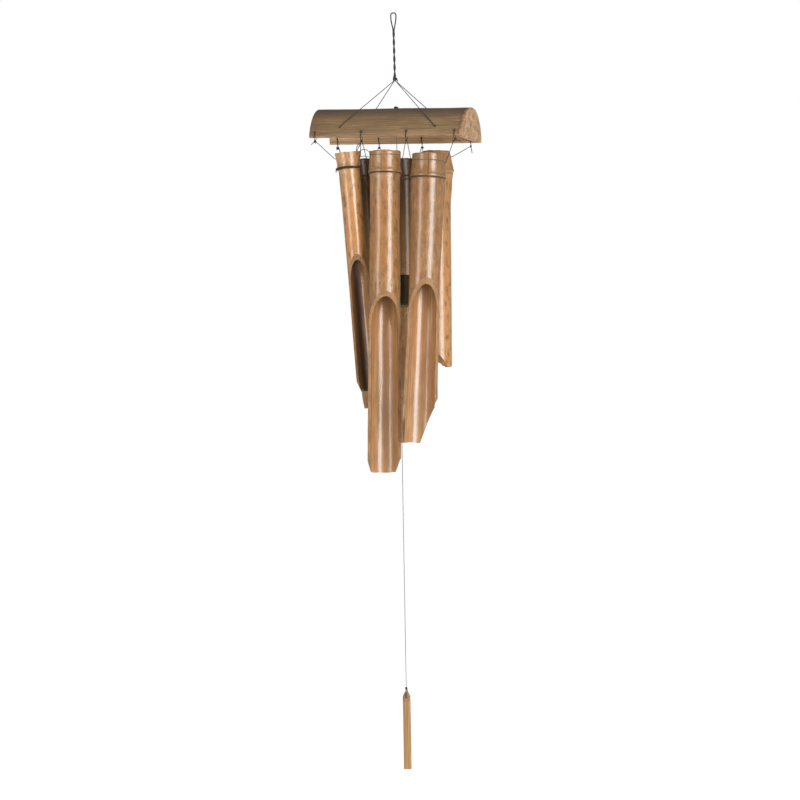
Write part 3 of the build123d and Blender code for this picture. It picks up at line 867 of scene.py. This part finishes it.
def tubeMesh(spec, seed):
    bm = bmesh.new()
    columns = 72
    turn = radians(spec["mouthTurn"])
    length, node = spec["length"], spec["node"]
    cup = cupRadius(spec)

    def uneven(angle, depth):
        # a culm is never quite round, and swells a little along its length
        spot = Vector((cos(angle) * 0.9, sin(angle) * 0.9, depth / 70 + seed * 7.3))
        return noise.noise(spot) * 0.42 + noise.noise(spot * 2.7) * 0.12

    def outer(angle, depth):
        radius = radiusAt(spec, depth) + uneven(angle, depth)
        ridge = depth - node
        radius += 0.55 * max(0.0, 1 - (ridge / 3.2) ** 2) - 0.6 * max(0.0, 1 - ((ridge - 3.4) / 1.5) ** 2)
        if spec["septum"]:
            radius -= 0.4 * max(0.0, 1 - ((depth - spec["septum"]) / 0.8) ** 2)
            radius += 0.15 * max(0.0, 1 - ((depth - spec["septum"] - 1.6) / 1.0) ** 2)
        return radius

    def inner(angle, depth):
        return boreAt(spec, depth) + uneven(angle, depth)

    def ring(radiusOf, depth, first=0.0, last=2 * pi, rag=0.0):
        verts = []
        for column in range(columns + 1):
            angle = first + (last - first) * column / columns
            if last - first > 2 * pi - 1e-6 and column == columns:
                angle = first
            radius = radiusOf(angle, depth)
            # outward is the mouth's side, turned from the front towards the right
            x = radius * (sin(turn) * cos(angle) + cos(turn) * sin(angle))
            y = radius * (-cos(turn) * cos(angle) + sin(turn) * sin(angle))
            drop = depth
            if rag:
                drop += rag * noise.noise(Vector((x * 0.09, y * 0.09, seed * 3.1 + depth)))
            verts.append(bm.verts.new(Vector((x, y, -drop)) * mm))
        return verts

    def span(radius, depth):
        # the first and last angle of the wall that the mouth and the foot's bevels leave
        reach = min(1.0, scoopReach(spec, depth) / radius)
        first = acos(reach)
        last = 2 * pi - first
        right, left = bevelWidth(spec, 1, depth), bevelWidth(spec, -1, depth)
        if right < radius:
            first = max(first, pi - asin(right / radius))
        if left < radius:
            last = min(last, pi + asin(left / radius))
        return first, last

    def disc(radius, depth, dish, finish):
        rings = []
        for share in (1.0, 0.97, 0.8, 0.55, 0.28, 0.02):
            depthHere = depth + dish * (1 - share**2)
            rings.append(ring(lambda angle, d: radius * share, depthHere))
        for upper, lower in zip(rings, rings[1:]):
            bridge(bm, upper, lower, finish)
        bm.faces.new(rings[-1][:-1]).material_index = finish
        return rings[0]

    skin, inside, cut = 0, 1, 2
    # the cup above the node: rim, wall and floor
    rimRows = [ring(lambda angle, d: outer(angle, 0) - 0.6, 0.0, rag=1.1)]
    rimRows.append(ring(lambda angle, d: outer(angle, 0) - 0.15, 0.35, rag=1.1))
    cupTop = ring(lambda angle, d: cup + 0.5 + uneven(angle, 0), 0.0, rag=1.1)
    bridge(bm, cupTop, rimRows[0], cut)
    bridge(bm, rimRows[0], rimRows[1], cut)
    cupRows = [cupTop]
    for depth in (0.6, 3, 8, 14, node - 4.0):
        if depth <= node - 4.0:
            cupRows.append(ring(lambda angle, d: cup + uneven(angle, d) * 0.6, depth))
    for upper, lower in zip(cupRows, cupRows[1:]):
        bridge(bm, upper, lower, inside)
    floorRim = ring(lambda angle, d: cup - 1.2, node - 3.0)
    bridge(bm, cupRows[-1], floorRim, inside)
    floor = disc(cup - 1.2, node - 3.0, 0.9, inside)
    bridge(bm, floorRim, floor, inside)
    # the closed wall down to the mouth's top
    apexOuter = mouthDepth(spec, outer(0.0, spec["mouth"]))
    apexInner = mouthDepth(spec, inner(0.0, spec["mouth"]))
    fine = [1.5, 3.0, 5.0]
    if spec["septum"]:
        fine += [spec["septum"] + step for step in (-1.4, -0.8, -0.4, 0, 0.4, 0.8, 1.6, 2.6)]
    fine += [node + step for step in (-6, -4, -3.2, -2.4, -1.6, -0.8, 0, 0.8, 1.6)]
    fine += [node + step for step in (2.2, 2.8, 3.4, 4.0, 4.6, 5.2, 6.5, 9)]
    depth = node + 14.0
    while depth < apexOuter - 4.0:
        fine.append(depth)
        depth += 9.0
    outerRows = [rimRows[1]] + [ring(outer, depth) for depth in sorted(fine)]
    innerRows = [ring(inner, node + 2.5)]
    depth = node + 8.0
    while depth < apexInner - 4.0:
        innerRows.append(ring(inner, depth))
        depth += 9.0
    ceiling = disc(inner(0, node) - 1.0, node + 2.2, -0.8, inside)
    bridge(bm, ceiling, innerRows[0], inside)
    # the open shell: the rows of both walls are paired so that the cut edge joins them
    openOuter = [ring(outer, apexOuter)]
    openInner = [ring(inner, apexInner)]
    for step in range(1, 15):
        opening = radians(step * 5.8)
        for rows, radiusOf in ((openOuter, outer), (openInner, inner)):
            deep = mouthDepth(spec, radiusOf(opening, spec["mouth"]) * cos(opening))
            rows.append(ring(radiusOf, deep, opening, 2 * pi - opening))
    depths = []
    depth = deep + 5.0
    while depth < length - 1.0:
        depths.append(depth)
        depth += 9.0
    for inset, height in spec["bevels"]:
        for step in range(12):
            # a row wherever the bevel has come 5 degrees further round the wall
            width = spec["footRadius"] * (1 - sin(radians(90 + step * 5)))
            deep = length - height + width * height / inset
            if deep < length - 1.2:
                depths.append(deep)
    depths = sorted(depths)
    depths = [d for d, following in zip(depths, depths[1:] + [length]) if following - d > 0.25]
    for depth in depths + [length - 0.4, length]:
        broken = 0.35 if depth == length else 0.0  # the foot's edges are broken a little
        rag = 1.3 if depth > length - 0.5 else 0.0
        for rows, radiusOf, grow in ((openOuter, outer, -broken), (openInner, inner, broken)):
            first, last = span(radiusOf(pi, depth), depth)
            rows.append(ring(lambda angle, d: radiusOf(angle, d) + grow, depth, first, last, rag))
    for rows, finish in ((outerRows + openOuter, skin), (innerRows + openInner, inside)):
        for upper, lower in zip(rows, rows[1:]):
            bridge(bm, upper, lower, finish)
    for end in (0, -1):
        for upperOut, upperIn, lowerOut, lowerIn in zip(openOuter, openInner, openOuter[1:], openInner[1:]):
            bridge(bm, [upperOut[end], upperIn[end]], [lowerOut[end], lowerIn[end]], cut)
    bridge(bm, openOuter[-1], openInner[-1], cut)
    return bm


# paintedShade is how much painted shade darkens a tube's top, most on the back tubes under the bar
tubeLooks = dict(
    tube_1=dict(warmth=0.9, paintedShade=0.0, pale=0.4, darkSide=dict(bearing=-38.0, width=52.0, depth=0.9)),
    tube_2=dict(warmth=0.3, paintedShade=0.9, pale=0.0, darkSide=None),
    tube_3=dict(warmth=0.45, paintedShade=0.05, pale=0.1, darkSide=None),
    tube_4=dict(warmth=0.3, paintedShade=0.9, pale=0.0, darkSide=None),
    tube_5=dict(warmth=0.3, paintedShade=0.1, pale=0.0, darkSide=None),
    tube_6=dict(warmth=0.6, paintedShade=0.2, pale=0.4, darkSide=None),
)
sideHole = dict(radius=1.25, length=14.0)


def makeTubes():
    edge = caneCut("caneCut")
    for number, (name, spec) in enumerate(tubes.items(), start=1):
        look = tubeLooks[name]
        finishes = [
            caneSkin(f"caneSkin{number}", spec, look["warmth"], look["paintedShade"], look["pale"]),
            caneInside(f"caneInside{number}", spec, look["paintedShade"], look["darkSide"]),
            edge,
        ]
        reach = radiusAt(spec, spec["hole"]) - 2
        holes = []
        for side in (-1, 1):
            centre = Vector((side * reach, 0, -spec["hole"])) * mm
            holes.append((centre, (1, 0, 0), sideHole["radius"] * mm, sideHole["length"] * mm))
        meshPiece(f"bambooTube{number}", tubeMesh(spec, number), metrePlace(spec["place"]),
                  finishes, name, name, holes)
        print("tube", number, "made")


makeTubes()

# wraps at the front tubes' nodes
turnPoints = 20
wraps = dict(
    tube_1=dict(turns=2.3, size=1.5, knot=True, start=200.0, again=[]),
    tube_3=dict(
        turns=1.15, size=0.9, knot=False, start=120.0,
        again=[(215, 262, 0.9), (268, 306, -0.5), (272, 298, 0.6)],
    ),
    tube_5=dict(turns=1.2, size=1.0, knot=False, start=150.0, again=[(230, 290, 0.7)]),
)


def makeWraps():
    for name, look in wraps.items():
        spec = tubes[name]
        depth = spec["node"] + 3.2
        radius = radiusAt(spec, depth) + look["size"] / 2 - 0.25
        course = []
        spread = radius / cos(pi / turnPoints)  # the curve passes inside its points
        for step in range(int(look["turns"] * turnPoints) + 1):
            angle = radians(look["start"]) + 2 * pi * step / turnPoints
            lift = (step / turnPoints - look["turns"] / 2) * look["size"] * 0.95 + 0.25 * sin(angle * 3)
            course.append(spec["place"] @ Vector((spread * cos(angle), spread * sin(angle), -depth + lift)))
        courses = [(course, False)]
        # loose strands that lie over a part of the wrap again
        spread = radius + 0.1
        for first, last, lift in look["again"]:
            course = []
            for step in range(9):
                angle = radians(first + (last - first) * step / 8)
                height = -depth + lift + 0.2 * sin(angle * 17)
                course.append(spec["place"] @ Vector((spread * cos(angle), spread * sin(angle), height)))
            courses.append((course, False))
        if look["knot"]:
            for across, lift, size in ((-0.15, 0.2, 1.5), (0.1, -1.2, 1.2)):
                spot = Vector((-radius - 0.8, across * radius, -depth + lift))
                courses.append(knotRun(spec["place"] @ spot, size, 1.2, lift))
            ends = [(0.8, -2, 0), (2.4, -3, 2), (2.0, -4, 5)]  # out, across and down from the knot
            spots = [Vector((-radius - out, y, -depth - down)) for out, y, down in ends]
            courses.append(([spec["place"] @ spot for spot in spots], False))
        number = name[-1]
        curvePiece(f"nodeWrap{number}", courses, look["size"], name, wrapTwine, f"wrap_{number}")


makeWraps()
print("wraps made")


# the culm's lower edges are shaved flat up to this height, and pale a little higher
edges = dict(shaved=4.4, slope=0.30, pale=4.6)


def makeBar():
    bm = bmesh.new()
    radius, drop, wall, half = bar["radius"], bar["drop"], bar["wall"], bar["length"] / 2
    lowAngle = acos(drop / radius)          # from the crown down to the front or back edge
    lowInner = acos(drop / (radius - wall))
    columns = 60

    def uneven(x, angle):
        spot = Vector((x / 60, cos(angle) * 1.3, sin(angle) * 1.3))
        return noise.noise(spot) * 0.55 + noise.noise(spot * 3.1) * 0.18

    def section(x):
        # front edge to back edge over the crown, the lower strip is shaved flat
        outerRow, innerRow = [], []
        for column in range(columns + 1):
            share = column / columns * 2 - 1
            angle = share * lowAngle
            reach = radius + uneven(x, angle)
            height = reach * cos(angle) - drop
            if height < edges["shaved"]:
                reach -= (edges["shaved"] - height) * edges["slope"]
            outerRow.append(Vector((x, reach * sin(angle), reach * cos(angle) - drop)))
            angle = share * lowInner
            reach = radius - wall + uneven(x, angle) * 0.7
            innerRow.append(Vector((x, reach * sin(angle), reach * cos(angle) - drop)))
        for row in (outerRow, innerRow):
            for end in (0, -1):
                row[end].z = 0.25 * noise.noise(Vector((x / 9, end * 3.0, 0)))
        return outerRow, innerRow

    stations = [-half, -half + 0.6] + [-half + 5 + 5 * step for step in range(48)]
    stations += [half - inset for inset in (7, 5, 3, 1.6, 0.6, 0)]
    rows = []
    for x in stations:
        outerRow, innerRow = section(x)
        inset = 0.5 if abs(x) == half else 0.0
        ragged = 0.0
        outerVerts, innerVerts = [], []
        for point in outerRow:
            if x == half:
                ragged = -0.5 * max(0.0, noise.noise(Vector((3, point.y / 5, point.z / 5))))
            if x == -half:
                ragged = 0.6 * max(0.0, noise.noise(Vector((7, point.y / 6, point.z / 6))))
            centre = Vector((point.x, 0, -drop))
            away = (point - centre).normalized()
            outerVerts.append(bm.verts.new((point - away * inset + Vector((ragged, 0, 0))) * mm))
        for point in innerRow:
            innerVerts.append(bm.verts.new(point * mm))
        rows.append((outerVerts, innerVerts))
    skin, inside, sawn, pale = 0, 1, 2, 3
    nodeFace = half - bar["nodeThickness"] + 1e-3
    chords = []  # the node's underside, across the split from the back wall to the front wall
    for (outerA, innerA), (outerB, innerB) in zip(rows, rows[1:]):
        strip = sum(1 for vert in outerA[:8] if vert.co.z < edges["pale"] * mm)
        bridge(bm, outerA[:strip], outerB[:strip], pale)
        bridge(bm, outerA[strip - 1:1 - strip or None], outerB[strip - 1:1 - strip or None], skin)
        bridge(bm, outerA[-strip:], outerB[-strip:], pale)
        for end in (0, -1):
            bridge(bm, [outerA[end], innerA[end]], [outerB[end], innerB[end]], pale)
        if innerB[0].co.x / mm <= nodeFace:
            bridge(bm, innerA, innerB, inside)
            lastInner = innerB
    for outerRow, innerRow in rows:
        if innerRow[0].co.x >= lastInner[0].co.x:
            back, front = innerRow[-1].co, innerRow[0].co
            across = [bm.verts.new(back.lerp(front, step / 12)) for step in range(1, 12)]
            chords.append([innerRow[-1]] + across + [innerRow[0]])
    for first, second in zip(chords, chords[1:]):
        bridge(bm, first, second, sawn)
    # left end: the wall's sawn edge
    bridge(bm, rows[0][0], rows[0][1], sawn)
    # right end: the culm's own node closes it, sawn flush outside and dished inside
    outerLoop = rows[-1][0] + chords[-1] + [rows[-1][0][0]]
    innerLoop = lastInner + chords[0][1:]
    for loop, finish, dish, rough in ((outerLoop, sawn, 0.2, 0.3), (innerLoop, inside, -1.8, 0.4)):
        centre = Vector((loop[0].co.x, 0, 16.0 * mm))
        rings = [loop]
        for share in (0.955, 0.92, 0.86, 0.75, 0.6, 0.45, 0.3, 0.15, 0.0):
            groove = 0.35 if share == 0.92 else 0.0  # where the node meets the wall
            ringRow = []
            for vert in loop:
                point = centre.lerp(vert.co, share)
                lift = (1 - share**2) * dish + rough * noise.noise(point / mm / 3.0) - groove
                ringRow.append(bm.verts.new(point + Vector((lift, 0, 0)) * mm))
            ringRow[-1].co = ringRow[0].co
            rings.append(ringRow)
        for upper, lower in zip(rings, rings[1:]):
            bridge(bm, upper, lower, finish)
    holes = []
    for row, rowName in bothRows:
        places = [(x, bar["tieHoleHeight"]) for x in bar[f"{rowName}Ties"]]
        places += [(x, bar["hangerHoleHeight"]) for x in bar["hangerHoles"]]
        for x, height in places:
            centre = Vector((x, row * bar["knotRow"], height)) * mm
            holes.append((centre, (0, 1, 0), bar["tieHole"] * mm, 26 * mm))
    crown = fromBar((pendulum["x"], 0, bar["edgeHeight"] + radius - drop))
    holes.append((Vector((crown.x, 0, radius - drop)) * mm, (0, 0, 1), bar["stringHole"] * mm, 22 * mm))
    finishes = [barSkin(), barInside(), barEnd(), caneCut("barEdge", "X")]
    meshPiece("splitCulmBar", bm, metrePlace(barPlace), finishes, "bar", "top_bar", holes)


makeBar()
print("bar made")


def turned(profile, sides):
    # a lathe's work: the profile is a closed line of (radius, height) points, from bore to bore
    bm = bmesh.new()
    rows = []
    for radius, height in profile:
        row = []
        for side in range(sides + 1):
            angle = 2 * pi * (side % sides) / sides
            row.append(bm.verts.new(Vector((radius * cos(angle), radius * sin(angle), height)) * mm))
        rows.append(row)
    for upper, lower in zip(rows, rows[1:]):
        bridge(bm, upper, lower, 0)
    return bm


def makeClapper():
    # a puck with broken edges, dished a little at both ends, bored for the string, waisted slightly
    r, h = pendulum["clapperRadius"], pendulum["clapperHeight"]
    profile = [
        (1.2, -h + 2.0), (1.2, -2.0), (1.9, -0.7), (3.2, -0.5), (r * 0.5, -0.25), (r - 3.2, 0.0),
        (r - 1.6, -0.25), (r - 0.55, -1.0), (r - 0.1, -2.4), (r, -5.0), (r - 0.25, -h * 0.3),
        (r - 0.35, -h * 0.5), (r - 0.25, -h * 0.7), (r, -h + 5.0), (r - 0.1, -h + 2.4), (r - 0.55, -h + 1.0),
        (r - 1.6, -h + 0.25), (r - 3.2, -h), (r * 0.5, -h + 0.25), (3.2, -h + 0.5), (1.9, -h + 0.7),
        (1.2, -h + 2.0),
    ]
    place = Matrix.Translation(Vector((pendulum["x"], 0, pendulum["clapperTop"])) * mm)
    puck = turned(profile, 64)
    meshPiece("woodClapper", puck, place, [clapperWood()], "clapper", "clapper")


# the strip's section in shares of its half width and thickness: the bowed face, then the hollow one
catcherSection = [(-1, -1), (-0.94, 0.2), (-0.7, 0.62), (-0.35, 0.9), (0, 1), (0.35, 0.9), (0.7, 0.62)]
catcherSection += [(0.94, 0.2), (1, -1), (0.7, -0.7), (0.35, -0.48), (0, -0.4), (-0.35, -0.48)]
catcherSection += [(-0.7, -0.7), (-1, -1)]


def makeCatcher():
    # a strip split from a thin culm: bowed across, shouldered at the top, nicked on one side
    bm = bmesh.new()
    width, thick, length = pendulum["catcherWidth"], pendulum["catcherThickness"], pendulum["catcherLength"]
    heights = [0, -1.2, -2.8, -4.6, -7, -9, -10.4, -11.4, -12.2, -13.4, -16]
    heights += [-20 - 10 * step for step in range(10)] + [-length + 0.6, -length]
    rows = []
    for height in heights:
        depth = -height
        halfLeft = halfRight = width / 2 * min(1.0, 0.34 + 0.66 * (depth / 7.5) ** 0.8)
        if 9 < depth < 12.4:
            halfRight -= 1.5 * (1 - abs(depth - 10.7) / 1.7)
        if depth > 12.4:
            halfRight -= 0.25
        wobble = 0.2 * noise.noise(Vector((depth / 25, 1, 1)))
        end = 0.3 if height in (0, -length) else 0.0
        row = []
        for x, y in catcherSection:
            reach = (halfLeft if x < 0 else halfRight) - end
            spot = Vector((x * reach + wobble, -y * (thick / 2 - end * 0.5), height))
            row.append(bm.verts.new(spot * mm))
        rows.append(row)
    for upper, lower in zip(rows, rows[1:]):
        bridge(bm, upper, lower, 0)
    bm.faces.new(rows[0][:-1])
    bm.faces.new(rows[-1][:-1])
    place = Matrix.Translation(Vector((pendulum["x"], 0, pendulum["catcherTop"])) * mm)
    hole = (Vector((0, 0, -pendulum["holeDrop"])) * mm, (0, 1, 0), 1.3 * mm, 14 * mm)
    finishes = [catcherCane()]
    meshPiece("windCatcher", bm, place, finishes, "wind_catcher", "wind_catcher", [hole])


makeClapper()
makeCatcher()
print("clapper and catcher made")

# floor and light
studio = dict(
    floorHeight=-1.42, floorSize=40.0,
    # a lamp's stand is its azimuth, its distance, its height and the height it faces
    lamps=[
        dict(name="softboxRight", stand=(53.0, 2.6, -0.28, -0.28), wide=1.25, tall=1.6, power=56.0),
        dict(name="softboxLeft", stand=(-31.0, 2.6, -0.28, -0.28), wide=0.8, tall=1.6, power=21.0),
        dict(name="topLight", stand=(20.0, 0.9, 1.9, -0.45), wide=1.4, tall=1.4, power=9.0),
    ],
    fill=0.32,       # how bright the room is for the chime, the backdrop itself is white
    floorGlow=0.74,
)


def makeStudio():
    f = Finish("paleFloor")
    fleck = f.grain(3, 3, 3.0, 0.5)
    floorLook = f.close(
        Base_Color=f.mix(tint(244, 244, 242), tint(250, 250, 248), fleck), Roughness=0.8,
        Emission_Color=(1, 1, 1, 1), Emission_Strength=studio["floorGlow"],
    )
    half = studio["floorSize"] / 2
    corners = [(-half, -half, 0), (half, -half, 0), (half, half, 0), (-half, half, 0)]
    mesh = bpy.data.meshes.new("floor")
    mesh.from_pydata(corners, [], [(0, 1, 2, 3)])
    mesh.materials.append(floorLook)
    floor = bpy.data.objects.new("floor", mesh)
    floor.location.z = studio["floorHeight"]
    scene.collection.objects.link(floor)
    for lamp in studio["lamps"]:
        data = bpy.data.lights.new(lamp["name"], "AREA")
        data.shape = "RECTANGLE"
        data.size, data.size_y = lamp["wide"], lamp["tall"]
        data.energy = lamp["power"]
        light = bpy.data.objects.new(lamp["name"], data)
        scene.collection.objects.link(light)
        light.matrix_world = standAt(*lamp["stand"])
    world = bpy.data.worlds.new("studio")
    world.use_nodes = True
    sky = world.node_tree.nodes["Background"]
    sky.inputs["Color"].default_value = (1, 1, 1, 1)
    seen = world.node_tree.nodes.new("ShaderNodeLightPath").outputs["Is Camera Ray"]
    level = world.node_tree.nodes.new("ShaderNodeMapRange")
    level.inputs["To Min"].default_value = studio["fill"]
    world.node_tree.links.new(seen, level.inputs["Value"])
    world.node_tree.links.new(level.outputs["Result"], sky.inputs["Strength"])
    scene.world = world
    scene.view_settings.view_transform = "Standard"


makeStudio()
print("studio made")
